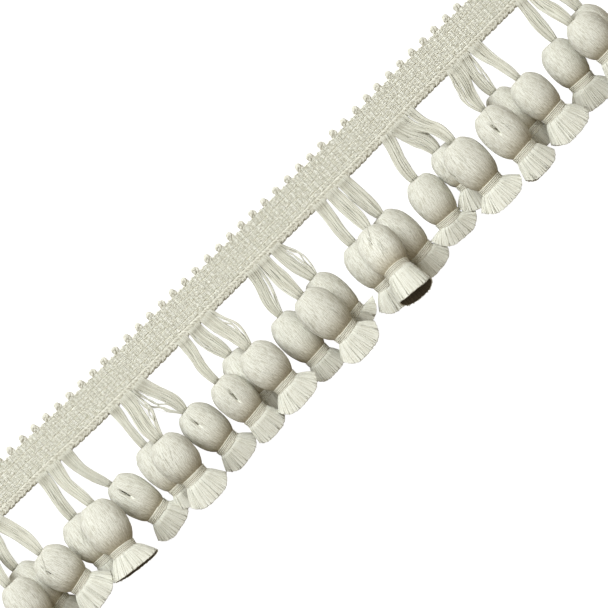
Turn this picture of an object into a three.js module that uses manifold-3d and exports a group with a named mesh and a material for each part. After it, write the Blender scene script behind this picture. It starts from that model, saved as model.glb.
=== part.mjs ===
// Tassel fringe trim: a cut length of ribbed heading tape with a row of picots along its upper edge, and
// along its lower edge a footing braid from which skeins of floss hang in threes. Each skein carries an onion
// tassel with a bound neck and a short flared skirt. The trim lies face up on a flat surface, and its tassels
// rest on the surface and on each other.
//
// Frame: millimetres. X runs along the heading, +Y points to the picot edge, +Z points up out of the face.
// The origin is the middle of the heading tape's back face, which lies on the surface.
import * as THREE from "three";
import { mergeVertices } from "three/addons/utils/BufferGeometryUtils.js";
import Module from "manifold-3d";

const wasm = await Module();
wasm.setup();

// Driving dimensions
const PIECE_GAP = 0.3; // between pieces that are made separately

const HEADING_LENGTH = 332;
const RIB_PITCH = 3.09; // from one weft rib across the heading to the next
const RIB_HEIGHT = 0.35;
const RIBS = Math.floor(HEADING_LENGTH / RIB_PITCH);

const TAPE_WIDTH = 11.7;
const TAPE_THICKNESS = 1.9; // over the ribs

const PICOT_PITCH = 2 * RIB_PITCH; // the weft makes one picot for each two ribs
const PICOT_HALF = 1.65;
const PICOT_THICKNESS = 1.5;
const PICOT_REACH = 1.0; // from the tape's edge to the picot's middle
const PICOT_SIDES = 8;
const PICOT_SHIFT = -1.6; // where the cut falls in the row of picots

const BRAID_WIDTH = 2.85;
const BRAID_THICKNESS = 1.6;
const SCALLOP_DEPTH = 0.5; // of the weft's turns along the braid's lower edge

const SKEIN_ROOT_INSET = 1.2; // how far a skein's end is woven into the braid
const SKEIN_STEPS = 4;
const SKEIN_ROOT_SIZE = { width: 4.6, thickness: 1.2 };
const SKEIN_MIDDLE_SIZE = { width: 5.4, thickness: 1.6 };
const SKEIN_TIE_SIZE = { width: 2.2, thickness: 1.5 };
const SKEIN_PULL = 0.4; // share of its length over which a skein keeps the direction of its ends

// A tassel's axis runs from its tie, where the skein is knotted on, to the cut end of its skirt.
// Lengths are measured along that axis from the tie, and those of a bulb are for this width and length.
const BULB_WIDTH = 16;
const BULB_LENGTH = 17.9; // to the neck
const BULB_MIDDLE = 9;
const BULB_COLUMNS = ["along", "half"];
const BULB_ROWS = [
  [0.7, 0],
  [0.0, 2.4],
  [1.5, 5.3],
  [4.8, 7.4],
  [9.8, 8.0],
  [14.6, 7.3],
  [17.6, 6.1],
];
const BULB_SIDES = 12;
const DEPTH_SHARE = 0.88; // a soft bulb that lies down is less deep than wide

const NECK_HALF = 4.9;
const NECK_LENGTH = 3.6;
const BINDING_CLEARANCE = 0.4; // round the neck
const BINDING_THICKNESS = 0.7;
const BINDING_LENGTH = 2.8;

const SKIRT_DEPTH_SHARE = 0.62;
const LOCKS = 8;
const LOCK_ROOT_INSET = 0.9; // how far a lock starts above the neck's end
const LOCK_ROOT_HALF = 4.4;
const LOCK_THICKNESS = 1.3;
const LOCK_SPREAD = 0.86; // of the room that each lock has in the ring
const LOCK_RAGGEDNESS = 0.35;
const LOCK_UNEVENNESS = 2.4; // turns the raggedness from one lock to the next, in radians
const CUT_BOW = 0.2; // how far the cut end draws back at both sides, as a share of the fan

// How tassels lie on the surface and on each other. For that a skirt counts as one ball in its upper part and
// three side by side in its lower part.
const SURFACE_PRESS = 0.35; // how far the surface presses a bulb flat
const STACK_GAP = 0.5;
const UPPER_SKIRT_BALL = { across: 0, along: 23.5, half: 5.6 };
const LOWER_SKIRT_ALONG = 27;
const LOWER_SKIRT_BALL_SHARE = 0.24; // of the fan

// Every tassel from left to right.
// under: 1 where it is laid first, on the surface, and 0 where it lies over those.
// root, tie: where its skein leaves the braid and where it ends, along X.
// drop: from the braid's lower edge to the tie. bow: how far the skein's middle swings along X.
// shift: of the bulb's axis from the skein's end, along X.
// lean: of the tassel's axis in the plane, towards +X. pitch: of the skirt's end, upwards. Both in degrees.
// width: of the bulb. bulb: from the tie to the binding. fan: width of the skirt's cut end.
// length: from the tie to that end.
const TASSEL_COLUMNS = "name under root tie drop bow shift lean pitch width bulb fan length".split(" ");
const TASSEL_ROWS = [
  ["1a", 0, -152.7, -153.7, 19.1, -0.5, 0.9, -3, -3, 15.5, 17.8, 16.8, 30.2],
  ["1b", 1, -146.9, -149, 16.4, 0.1, -0.3, 6.4, -2.5, 15.6, 20, 12, 29.1],
  ["1c", 0, -142.3, -137, 19.1, 2.7, -0.7, 11.7, -3, 16.1, 17.5, 19.2, 30.1],
  ["2a", 1, -117.7, -119.7, 18, -0.6, -1.1, -2.2, -2.5, 15.8, 18, 12.5, 28.1],
  ["2b", 0, -111.5, -110, 19.3, -2.5, -0.8, -7.2, 6, 17.3, 19.6, 20.8, 30.2],
  ["2c", 1, -105.1, -100.9, 19.1, -1, 1.4, 12, -2.5, 14.8, 19.4, 12.4, 31.1],
  ["3a", 1, -79.9, -81.2, 17.8, -0.3, -0.7, 0.2, -2.5, 15.2, 19, 9.5, 28.8],
  ["3b", 0, -73.5, -74.9, 20.1, -0.3, -0.1, 0, -2, 16.3, 18, 18.9, 30.9],
  ["3c", 1, -66.9, -61.2, 19.4, 2, 0, 8.9, -2.5, 15.7, 18.9, 18, 30.2],
  ["4a", 0, -42.8, -44, 20.1, -0.5, 0, 5, -3, 15.1, 17.7, 13.2, 29.5],
  ["4b", 1, -36.2, -34.1, 16, -0.5, 0.7, -2.3, -2.5, 15.4, 18.6, 12, 27.6],
  ["4c", 0, -30, -26.6, 19.3, 0.8, -0.6, 4.2, -2, 16.2, 17.8, 18.4, 29.6],
  ["5a", 1, -5.3, -9.5, 19, -0.5, -1.3, 1.7, -2.5, 15.2, 19.6, 13.5, 30.3],
  ["5b", 0, 0.4, 1.1, 19.4, 0.1, 0.3, 6.6, -2, 16.3, 20.2, 19.8, 33],
  ["5c", 1, 7.1, 9.6, 17.8, -0.3, -1, 5.1, -2.5, 14.6, 19.1, 12, 27.6],
  ["6a", 1, 31.2, 29.3, 19, -0.7, -0.7, -0.8, -2.5, 15.4, 18.1, 12.5, 30.6],
  ["6b", 0, 37.5, 37.1, 19.3, -0.1, -1, -5.8, 18, 15.6, 18.4, 15.3, 32.5],
  ["6c", 1, 43.8, 44.4, 18.9, 0.5, -0.7, 5.2, -2.5, 15.4, 19.9, 13, 30.6],
  ["7a", 1, 67.8, 63.3, 18.5, -1.4, 0.3, -4.8, -2.5, 15.2, 18.4, 15, 28.8],
  ["7b", 1, 72.3, 76.7, 16.4, 0.7, 1.5, -1.5, -2.5, 14.6, 15.4, 9.5, 27.5],
  ["7c", 0, 78.9, 82.8, 18.5, 0.7, -1.2, 0.7, -2, 16.1, 19.9, 20.5, 31.2],
  ["8a", 0, 104.3, 99.3, 18.4, 0, -1.2, 3.2, 2, 16.1, 20.5, 15.9, 33],
  ["8b", 1, 110, 108, 16.1, -1.4, -0.3, 1, -2.5, 14.8, 19.1, 12, 28.5],
  ["8c", 0, 115.9, 117.4, 19, 0.3, -0.6, 3.8, -2, 14.9, 17.3, 19.6, 30.6],
  ["9a", 1, 140.5, 138.5, 18, -0.6, -2.4, -3.9, -2.5, 14.9, 17.7, 16, 29.9],
  ["9b", 0, 145.7, 145.9, 17.9, -0.6, 1.8, 2.3, -3, 15.5, 16.8, 16.8, 30.2],
  ["9c", 1, 151.7, 153.7, 16.2, 0.5, -1.5, 1, -2.5, 15.4, 18.3, 12, 28.4],
];

// Places that follow from the dimensions
const TAPE_LOWER_EDGE = -TAPE_WIDTH / 2;
const BRAID_UPPER_EDGE = TAPE_LOWER_EDGE - PIECE_GAP;
const BRAID_LOWER_EDGE = BRAID_UPPER_EDGE - BRAID_WIDTH;

const named = (columns, row) => Object.fromEntries(columns.map((column, i) => [column, row[i]]));
const radians = THREE.MathUtils.degToRad;
const between = THREE.MathUtils.lerp;

const flossLook = { color: 0xdcd9c8, roughness: 0.62, metalness: 0 };
const bindingLook = { color: 0xdcd8c4, roughness: 0.5, metalness: 0 };
const wovenLook = { color: 0xd0ccb8, roughness: 0.8, metalness: 0 };

// A geometry's points alone, with the points that faces share made one.
function welded(geometry) {
  const bare = new THREE.BufferGeometry();
  bare.setAttribute("position", geometry.getAttribute("position"));
  bare.setIndex(geometry.getIndex());
  return mergeVertices(bare, 1e-4);
}

function solidOf(geometry) {
  const closed = welded(geometry);
  return new wasm.Manifold(
    new wasm.Mesh({
      numProp: 3,
      vertProperties: new Float32Array(closed.getAttribute("position").array),
      triVerts: new Uint32Array(closed.getIndex().array),
    }),
  );
}

// The geometries joined into one body.
function fused(geometries) {
  const { vertProperties, triVerts } = geometries
    .map(solidOf)
    .reduce((whole, solid) => whole.add(solid))
    .getMesh();
  const joined = new THREE.BufferGeometry();
  joined.setAttribute("position", new THREE.BufferAttribute(vertProperties, 3));
  joined.setIndex(new THREE.BufferAttribute(triVerts, 1));
  return joined;
}

// Moves each point of a geometry to where place(point) says.
function reshaped(geometry, place) {
  const points = geometry.getAttribute("position");
  for (let i = 0; i < points.count; i += 1) {
    const moved = place(new THREE.Vector3().fromBufferAttribute(points, i));
    points.setXYZ(i, moved.x, moved.y, moved.z);
  }
  return geometry;
}

function piece(name, geometry, look) {
  const mesh = new THREE.Mesh(geometry, new THREE.MeshStandardMaterial(look));
  mesh.name = name;
  return mesh;
}

// Heading tape: warp floats over weft ribs that cross the tape, with the weft's picots along the upper edge.
function ribbedTape() {
  const left = -HEADING_LENGTH / 2;
  const ribLength = HEADING_LENGTH / RIBS;
  const section = new THREE.Shape();
  section.moveTo(left, 0);
  section.lineTo(-left, 0);
  for (let rib = RIBS; rib > 0; rib -= 1) {
    section.lineTo(left + rib * ribLength, TAPE_THICKNESS - RIB_HEIGHT);
    section.lineTo(left + (rib - 0.5) * ribLength, TAPE_THICKNESS);
  }
  section.lineTo(left, TAPE_THICKNESS - RIB_HEIGHT);
  return new THREE.ExtrudeGeometry(section, { depth: TAPE_WIDTH, bevelEnabled: false })
    .rotateX(Math.PI / 2)
    .translate(0, TAPE_WIDTH / 2, 0);
}

function picots() {
  const count = Math.floor(HEADING_LENGTH / PICOT_PITCH);
  return Array.from({ length: count }, (_, i) =>
    new THREE.CylinderGeometry(PICOT_HALF, PICOT_HALF, PICOT_THICKNESS, PICOT_SIDES)
      .rotateX(Math.PI / 2)
      .translate(
        (i - (count - 1) / 2) * PICOT_PITCH + PICOT_SHIFT,
        TAPE_WIDTH / 2 + PICOT_REACH,
        PICOT_THICKNESS / 2,
      ),
  );
}

const headingTape = () => piece("heading_tape", fused([ribbedTape(), ...picots()]), wovenLook);

// Tassels: where each one lies
const neckStart = (tassel) => tassel.bulb - PIECE_GAP;
const neckEnd = (tassel) => neckStart(tassel) + NECK_LENGTH;

function bulbStations(tassel) {
  const widening = tassel.width / BULB_WIDTH;
  const lengthening = neckStart(tassel) / BULB_LENGTH;
  return BULB_ROWS.map((row) => {
    const { along, half } = named(BULB_COLUMNS, row);
    return { along: along * lengthening, half: half * widening };
  });
}

// The turn that takes a tassel's own frame, with its axis along -Y, to the way it lies.
const turnOf = (tassel) => new THREE.Euler(-radians(tassel.pitch), 0, radians(tassel.lean), "ZYX");

// Balls that fill a tassel, in plan and with their rise over the bulb's middle, for finding what it rests on.
function ballsOf(tassel) {
  const skirtBall = tassel.fan * LOWER_SKIRT_BALL_SHARE;
  const skirtSide = tassel.fan / 2 - skirtBall;
  const bulb = bulbStations(tassel)
    .filter(({ half }) => half > NECK_HALF)
    .map(({ along, half }) => ({ across: 0, along, half }));
  const skirt = [-skirtSide, 0, skirtSide].map((across) => ({
    across,
    along: LOWER_SKIRT_ALONG,
    half: skirtBall,
  }));
  return [...bulb, UPPER_SKIRT_BALL, ...skirt].map(({ across, along, half }) => {
    const place = new THREE.Vector3(across, -along, 0).applyEuler(turnOf(tassel));
    const rise = (along - BULB_MIDDLE) * Math.sin(radians(tassel.pitch));
    return { x: tassel.tie + tassel.shift + place.x, y: place.y - tassel.drop, rise, half };
  });
}

// The height of a bulb's middle when it lies on the surface, on one of its flat sides.
const restingHeight = (tassel) =>
  (tassel.width / 2) * DEPTH_SHARE * Math.cos(Math.PI / BULB_SIDES) - SURFACE_PRESS;

// The height of a bulb's middle when the tassel lies on the surface or on the tassels laid before it.
function layingHeight(tassel, laid) {
  let height = restingHeight(tassel);
  for (const other of laid) {
    for (const upper of ballsOf(tassel)) {
      for (const lower of ballsOf(other)) {
        const reach = upper.half + lower.half + STACK_GAP;
        const apart = Math.hypot(upper.x - lower.x, upper.y - lower.y);
        if (apart < reach) {
          const clear = DEPTH_SHARE * Math.sqrt(reach ** 2 - apart ** 2);
          height = Math.max(height, other.height + lower.rise + clear - upper.rise);
        }
      }
    }
  }
  return height;
}

function laidTassels() {
  const tassels = TASSEL_ROWS.map((row) => named(TASSEL_COLUMNS, row));
  const laid = [];
  for (const under of [1, 0]) {
    for (const tassel of tassels.filter((one) => one.under === under)) {
      tassel.height = layingHeight(tassel, laid);
      laid.push(tassel);
    }
  }
  for (const tassel of tassels) {
    const pitch = Math.sin(radians(tassel.pitch));
    tassel.tieHeight = tassel.height - BULB_MIDDLE * pitch;
    const endHeight = tassel.height + (tassel.length - BULB_MIDDLE) * pitch;
    const onSurface = tassel.height === restingHeight(tassel);
    tassel.fanDepth = onSurface ? endHeight : (tassel.fan / 2) * SKIRT_DEPTH_SHARE;
  }
  return tassels;
}

const placeOf = (tassel) =>
  new THREE.Vector3(tassel.tie + tassel.shift, BRAID_LOWER_EDGE - tassel.drop, tassel.tieHeight);

function placed(mesh, tassel) {
  mesh.position.copy(placeOf(tassel));
  mesh.rotation.copy(turnOf(tassel));
  mesh.updateMatrix();
  return mesh;
}

// A round form about a tassel's axis, with one of its flat sides downwards.
const lathed = (outline) =>
  new THREE.LatheGeometry(outline, BULB_SIDES, Math.PI / BULB_SIDES).scale(1, 1, DEPTH_SHARE);

// Tassels: head and skirt. The floss is tied at its middle, doubled over and bound, so both are one piece.
function bulbAndNeck(tassel) {
  const outline = bulbStations(tassel).map(({ along, half }) => new THREE.Vector2(half, -along));
  outline.push(
    new THREE.Vector2(NECK_HALF, -neckStart(tassel)),
    new THREE.Vector2(NECK_HALF, -neckEnd(tassel)),
    new THREE.Vector2(0, -neckEnd(tassel)),
  );
  return lathed(outline.reverse());
}

// One lock of the skirt: a four-sided slip of a ring that opens from the neck to the fan of the cut end.
function lock(tassel, index) {
  const room = (2 * Math.PI) / LOCKS;
  const middle = (index + 0.5) * room;
  const ragged = LOCK_RAGGEDNESS * (1 + Math.sin(index * LOCK_UNEVENNESS + tassel.tie));
  const root = neckEnd(tassel) - LOCK_ROOT_INSET;
  const tip = tassel.length - CUT_BOW * tassel.fan * Math.cos(middle) ** 4 - ragged;
  return reshaped(new THREE.BoxGeometry(1, 1, 1), ({ x, y, z }) => {
    const share = 0.5 - y;
    const angle = middle - x * room * LOCK_SPREAD;
    const inset = (0.5 - z) * LOCK_THICKNESS;
    const across = between(LOCK_ROOT_HALF, tassel.fan / 2, share) - inset;
    const upwards = between(LOCK_ROOT_HALF * DEPTH_SHARE, tassel.fanDepth, share) - inset;
    return new THREE.Vector3(
      across * Math.cos(angle),
      -between(root, tip, share),
      upwards * Math.sin(angle),
    );
  });
}

// The surface presses a soft bulb flat where it would sink in.
function pressedFlat(mesh) {
  const back = mesh.matrix.clone().invert();
  reshaped(mesh.geometry, (point) => {
    const there = point.applyMatrix4(mesh.matrix);
    there.z = Math.max(there.z, 0);
    return there.applyMatrix4(back);
  });
  return mesh;
}

function tasselPiece(tassel) {
  const locks = Array.from({ length: LOCKS }, (_, i) => lock(tassel, i));
  const mesh = piece(`tassel_${tassel.name}`, fused([bulbAndNeck(tassel), ...locks]), flossLook);
  return pressedFlat(placed(mesh, tassel));
}

// Neck binding: thread wound round the neck between the bulb and the skirt.
function bindingPiece(tassel) {
  const inner = NECK_HALF + BINDING_CLEARANCE;
  const outer = inner + BINDING_THICKNESS;
  const start = -tassel.bulb;
  const end = start - BINDING_LENGTH;
  const outline = [
    new THREE.Vector2(inner, end),
    new THREE.Vector2(outer, end),
    new THREE.Vector2(outer, start),
    new THREE.Vector2(inner, start),
    new THREE.Vector2(inner, end),
  ];
  return placed(piece(`binding_${tassel.name}`, welded(lathed(outline)), bindingLook), tassel);
}

// Footing braid: the heading's lower edge, in which the skeins of floss that carry the tassels are caught.
function braidStrip() {
  const left = -HEADING_LENGTH / 2;
  const turnLength = HEADING_LENGTH / RIBS;
  const outline = new THREE.Shape();
  outline.moveTo(left, BRAID_UPPER_EDGE);
  for (let turn = 0; turn < RIBS; turn += 1) {
    outline.lineTo(left + turn * turnLength, BRAID_LOWER_EDGE + SCALLOP_DEPTH);
    outline.lineTo(left + (turn + 0.5) * turnLength, BRAID_LOWER_EDGE);
  }
  outline.lineTo(-left, BRAID_LOWER_EDGE + SCALLOP_DEPTH);
  outline.lineTo(-left, BRAID_UPPER_EDGE);
  return new THREE.ExtrudeGeometry(outline, { depth: BRAID_THICKNESS, bevelEnabled: false });
}

// A skein's line from the braid to its tassel's tie.
function skeinLine(tassel) {
  const root = new THREE.Vector3(tassel.root, BRAID_LOWER_EDGE + SKEIN_ROOT_INSET, BRAID_THICKNESS / 2);
  const tie = new THREE.Vector3(-tassel.shift, PIECE_GAP, 0).applyEuler(turnOf(tassel)).add(placeOf(tassel));
  const pull = root.distanceTo(tie) * SKEIN_PULL;
  const leaving = root.clone().add(new THREE.Vector3(tassel.bow, -pull, 0));
  const arriving = new THREE.Vector3(tassel.bow, pull, 0).applyEuler(turnOf(tassel)).add(tie);
  return new THREE.CubicBezierCurve3(root, leaving, arriving, tie);
}

// A flat skein of floss: slim in the braid, loose in the middle, and gathered at the tie.
function skein(tassel) {
  const line = skeinLine(tassel);
  const up = new THREE.Vector3(0, 0, 1);
  return reshaped(new THREE.BoxGeometry(1, 1, 1, 1, SKEIN_STEPS, 1), ({ x, y, z }) => {
    const share = 0.5 - y;
    const fullness = Math.sin(Math.PI * share);
    const tangent = line.getTangent(share);
    const side = up.clone().cross(tangent).normalize();
    const over = tangent.clone().cross(side);
    const sizeOf = (key) => {
      const tapered = between(SKEIN_ROOT_SIZE[key], SKEIN_TIE_SIZE[key], share ** 4);
      return between(tapered, SKEIN_MIDDLE_SIZE[key], fullness / 2);
    };
    return line
      .getPoint(share)
      .addScaledVector(side, x * sizeOf("width"))
      .addScaledVector(over, z * sizeOf("thickness"));
  });
}

const footingBraid = (tassels) =>
  piece("footing_braid", fused([braidStrip(), ...tassels.map(skein)]), wovenLook);

const trim = new THREE.Group();
const tassels = laidTassels();
trim.add(headingTape(), footingBraid(tassels));
trim.add(...tassels.map(tasselPiece), ...tassels.map(bindingPiece));

export default trim;
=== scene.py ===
import math

import bpy
import numpy as np
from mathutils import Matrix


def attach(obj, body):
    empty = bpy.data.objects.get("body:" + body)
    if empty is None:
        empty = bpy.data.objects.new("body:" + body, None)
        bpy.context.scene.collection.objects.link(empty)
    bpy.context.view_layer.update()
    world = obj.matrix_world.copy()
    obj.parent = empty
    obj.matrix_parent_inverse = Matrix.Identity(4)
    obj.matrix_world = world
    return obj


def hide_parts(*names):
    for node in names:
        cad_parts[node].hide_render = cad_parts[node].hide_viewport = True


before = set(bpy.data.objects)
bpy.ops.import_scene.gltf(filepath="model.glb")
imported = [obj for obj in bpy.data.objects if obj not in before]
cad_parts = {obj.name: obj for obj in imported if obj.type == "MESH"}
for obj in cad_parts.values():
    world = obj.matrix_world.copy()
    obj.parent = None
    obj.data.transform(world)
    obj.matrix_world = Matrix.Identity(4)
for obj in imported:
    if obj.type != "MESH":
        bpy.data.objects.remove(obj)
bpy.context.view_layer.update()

bpy.ops.object.select_all(action="DESELECT")


# Wefts of the heading: soft cotton yarns that cross it side by side, two of them to each 3 mm of its
# length. They are the filling of the weave, and show as ground between the warps over them, shaded
# by the warps and by painted shade: their colour is deeper than the warps'.
MM = 0.001
UP = (0, 0, 1)
THREAD_MAP = "OFBake"
HEADING_LENGTH = 332
TAPE_HALF = 5.85
RIB_PITCH = 3.09
RIB_SHIFT = -1.2
WEFTS_A_RIB = 2
WEFT_PITCH = RIB_PITCH / WEFTS_A_RIB
WEAVE_MIDDLE = 0.95
WEFT_WIDE = 0.66
WEFT_HIGH = 0.28
WEFT_STEPS = 5
WEFT_SIDES = 6
WEFT_INSET = 0.2
WEFT_STRAY = 0.04
END_MARGIN = 1
LIE_MIDDLE = -17
LIE_FLAT = 65
LIE_BEND = 40
LIE_RISE = 1.0
# Painted shade, in part: the wefts are coloured deeper than the warps to darken the ground between them.
WEFT_PALE = (0.64, 0.635, 0.56)
WEFT_DEEP = (0.50, 0.49, 0.41)
FUZZ_SCALE = 2300
FUZZ_SHARE = 0.26
FILAMENTS_A_THREAD = 5
FILAMENT_TONES = 0.6
FILAMENT_SHARE = 0.4
TONE_MIDDLE = 0.48
SHINE_SPREAD = 0.1
BUMP_STRENGTH = 0.5
BUMP_DEPTH = 0.25
YARN_GLOSS = 0.2
SHEEN_ROUGHNESS = 0.45
CELL_HALF = 0.4
chance = np.random.default_rng(12)


def ring_faces(count, steps, sides):
    """The side faces of count sleeves, each of them a row of rings of points."""
    at = np.arange(count * steps * sides).reshape(count, steps, sides)
    near, far = at[:, :-1], at[:, 1:]
    return np.stack([near, np.roll(near, -1, 2), np.roll(far, -1, 2), far], -1).reshape(-1, 4)


def end_faces(count, steps, sides):
    """The faces that close the first and the last ring of each sleeve."""
    at = np.arange(count * steps * sides).reshape(count, steps, sides)
    return np.concatenate([at[:, 0, ::-1], at[:, -1]])


def strips(count, left=0.0, low=0.0, right=1.0, high=1.0):
    """Places side by side in the thread map, one for each of count threads: left, low, right, high."""
    edge = np.linspace(left, right, count + 1)
    return np.stack([edge[:-1], np.full(count, low), edge[1:], np.full(count, high)], -1)


def unit(vectors):
    return vectors / np.linalg.norm(vectors, axis=-1, keepdims=True)


def thread_frames(lines, up=UP):
    """The directions sideways and upwards of threads along lines of points."""
    run = unit(np.gradient(lines, axis=-2))
    side = unit(np.cross(np.broadcast_to(up, run.shape), run))
    return side, np.cross(run, side)


def threads(lines, wide, high, sides, cells, up=UP, finish=0):
    """Closed threads along lines, an array of thread, step and xyz, with the half sizes wide and high."""
    count, steps = lines.shape[:2]
    side, top = thread_frames(lines, up)
    turn = 2 * np.pi * np.arange(sides) / sides
    wide = np.broadcast_to(wide, (count, steps))[..., None, None]
    high = np.broadcast_to(high, (count, steps))[..., None, None]
    points = (
        lines[:, :, None]
        + wide * np.cos(turn)[:, None] * side[:, :, None]
        + high * np.sin(turn)[:, None] * top[:, :, None]
    )
    left, low, right, upper = cells.T[:, :, None, None]
    across = left + (right - left) * (0.5 + CELL_HALF * np.cos(turn))
    across = np.broadcast_to(across, (count, steps, sides))
    share = np.linspace(0, 1, steps)[:, None]
    along = np.broadcast_to(low + (upper - low) * share, (count, steps, sides))
    places = np.stack([across, along], -1).reshape(-1, 2)
    faces = [ring_faces(count, steps, sides), end_faces(count, steps, sides)]
    return points.reshape(-1, 3), faces, [places[f] for f in faces], [finish, finish]


def make_piece(name, parts, materials, slot, *nodes):
    """One mesh of several parts in millimetres, riding on the trim and standing for the named nodes."""
    faces, places, finishes, first = [], [], [], 0
    for points, part_faces, part_places, part_finishes in parts:
        for some, where, finish in zip(part_faces, part_places, part_finishes):
            faces += (some + first).tolist()
            places.append(where.reshape(-1, 2))
            finishes.append(np.full(len(some), finish))
        first += len(points)
    mesh = bpy.data.meshes.new(name)
    mesh.from_pydata(np.concatenate([part[0] for part in parts]) * MM, [], faces)
    mesh.uv_layers.new(name=THREAD_MAP).data.foreach_set("uv", np.concatenate(places).ravel())
    for material in materials:
        mesh.materials.append(material)
    mesh.polygons.foreach_set("material_index", np.concatenate(finishes).astype(np.int32))
    mesh.shade_smooth()
    made = bpy.data.objects.new(name, mesh)
    bpy.context.scene.collection.objects.link(made)
    return settle(made, slot, *nodes)


def settle(made, slot, *nodes):
    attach(made, "root")
    if nodes:
        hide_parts(*nodes)
    return made


def yarn_material(name, pale, deep, counts, roughness, sheen, blend=0.14):
    """Yarn with filaments along each thread and a woolly fuzz. Counts are the threads and the changes
    of tone in the thread map, and blend is how gradually deep turns into pale."""
    material = bpy.data.materials.new(name)
    material.use_nodes = True
    tree = material.node_tree
    shader = tree.nodes["Principled BSDF"]
    place = tree.nodes.new("ShaderNodeUVMap")
    place.uv_map = THREAD_MAP

    def streaks(across, along, detail):
        spread = tree.nodes.new("ShaderNodeMapping")
        spread.inputs["Scale"].default_value = (across, along, 1)
        noise = tree.nodes.new("ShaderNodeTexNoise")
        noise.noise_dimensions = "2D"
        noise.inputs["Scale"].default_value = 1
        noise.inputs["Detail"].default_value = detail
        tree.links.new(place.outputs["UV"], spread.inputs["Vector"])
        tree.links.new(spread.outputs["Vector"], noise.inputs["Vector"])
        return noise.outputs["Fac"]

    threads_across, tones_along = counts
    yarns = streaks(threads_across, tones_along, 2)
    filaments = streaks(threads_across * FILAMENTS_A_THREAD, tones_along * FILAMENT_TONES, 1)
    both = tree.nodes.new("ShaderNodeMix")
    both.inputs["Factor"].default_value = FILAMENT_SHARE
    tree.links.new(yarns, both.inputs["A"])
    tree.links.new(filaments, both.inputs["B"])
    spot = tree.nodes.new("ShaderNodeTexCoord")
    fuzz = tree.nodes.new("ShaderNodeTexNoise")
    fuzz.inputs["Scale"].default_value = FUZZ_SCALE
    fuzz.inputs["Detail"].default_value = 2
    tree.links.new(spot.outputs["Object"], fuzz.inputs["Vector"])
    woolly = tree.nodes.new("ShaderNodeMix")
    woolly.inputs["Factor"].default_value = FUZZ_SHARE
    tree.links.new(both.outputs["Result"], woolly.inputs["A"])
    tree.links.new(fuzz.outputs["Fac"], woolly.inputs["B"])
    tones = tree.nodes.new("ShaderNodeValToRGB")
    tones.color_ramp.elements[0].position = TONE_MIDDLE - blend
    tones.color_ramp.elements[0].color = (*deep, 1)
    tones.color_ramp.elements[1].position = TONE_MIDDLE + blend
    tones.color_ramp.elements[1].color = (*pale, 1)
    tree.links.new(woolly.outputs["Result"], tones.inputs["Fac"])
    tree.links.new(tones.outputs["Color"], shader.inputs["Base Color"])
    shine = tree.nodes.new("ShaderNodeMapRange")
    shine.inputs["To Min"].default_value = roughness - SHINE_SPREAD
    shine.inputs["To Max"].default_value = roughness + SHINE_SPREAD
    tree.links.new(filaments, shine.inputs["Value"])
    tree.links.new(shine.outputs["Result"], shader.inputs["Roughness"])
    bump = tree.nodes.new("ShaderNodeBump")
    bump.inputs["Strength"].default_value = BUMP_STRENGTH
    bump.inputs["Distance"].default_value = BUMP_DEPTH * MM
    tree.links.new(woolly.outputs["Result"], bump.inputs["Height"])
    tree.links.new(bump.outputs["Normal"], shader.inputs["Normal"])
    shader.inputs["Specular IOR Level"].default_value = YARN_GLOSS
    shader.inputs["Sheen Weight"].default_value = sheen
    shader.inputs["Sheen Roughness"].default_value = SHEEN_ROUGHNESS
    return material


def lie(x):
    """How far the heading lies aside at a place along it, because both its ends bend towards +Y."""
    share = np.clip((np.abs(x - LIE_MIDDLE) - LIE_FLAT) / LIE_BEND, 0, 1)
    return LIE_RISE * share**2 * (3 - 2 * share)


first_weft = math.ceil((END_MARGIN - HEADING_LENGTH / 2 - RIB_SHIFT) / WEFT_PITCH)
last_weft = math.floor((HEADING_LENGTH / 2 - END_MARGIN - RIB_SHIFT) / WEFT_PITCH)
weft_places = RIB_SHIFT + WEFT_PITCH * np.arange(first_weft, last_weft + 1)
wefts = len(weft_places)
weft_y = np.linspace(WEFT_INSET - TAPE_HALF, TAPE_HALF - WEFT_INSET, WEFT_STEPS)
weft_lines = np.zeros((wefts, WEFT_STEPS, 3))
weft_lines[:, :, 0] = weft_places[:, None] + chance.normal(0, WEFT_STRAY, (wefts, WEFT_STEPS))
weft_lines[:, :, 1] = weft_y + lie(weft_lines[:, :, 0])
weft_lines[:, :, 2] = WEAVE_MIDDLE
weft_yarn = yarn_material(
    "weft_yarn", WEFT_PALE, WEFT_DEEP, (wefts, 12), roughness=0.8, sheen=0.1, blend=0.08
)
weft_part = threads(weft_lines, WEFT_WIDE, WEFT_HIGH, WEFT_SIDES, strips(wefts))
heading_wefts = make_piece("heading_wefts", [weft_part], [weft_yarn], "woven_heading")


# Warps of the heading: soft floss strands that run its whole length and rise over each weft as a light
# dash. From one weft to the next they lie half a strand aside, so the dashes interlock, and every second
# weft lifts and spreads them a little more, which shows as ribs across the heading.
WARP_STRANDS = 25
WARP_STEPS_A_WEFT = 4
WARP_SIDES = 4
WARP_INSET = 0.3
WARP_HEIGHT = 0.3
WARP_RISE = 0.12
WARP_ASIDE = 0.115
RISE_STRAY = 0.25
ASIDE_STRAY = 0.04
RISE_SWELL = 0.04
RIB_RISE = 0.06
RIB_SWELL = 0.03
STRAND_WIDE = 0.19
STRAND_HIGH = 0.26
WARP_GROOVES = (2.4, -0.75, -3.8)
GROOVE_SHIFT = 0.14
GROOVE_REACH = 0.8
WARP_PALE = (0.90, 0.905, 0.845)
WARP_DEEP = (0.59, 0.58, 0.49)


def wander(count, steps, swings):
    """A slow drift of each of count threads, 1 at most, with this many swings along its length."""
    share = np.linspace(0, 1, steps)
    phase = chance.uniform(0, 2 * np.pi, (2, count, 1))
    return 0.6 * np.sin(2 * np.pi * swings * share + phase[0]) + 0.4 * np.sin(
        2 * np.pi * swings * 1.7 * share + phase[1]
    )


def by_weft(size):
    """A chance value for each warp strand at each weft, carried over smoothly between the wefts."""
    values = chance.normal(0, size, (WARP_STRANDS, wefts))
    return np.stack([np.interp(warp_x, weft_places, row) for row in values])


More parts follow.
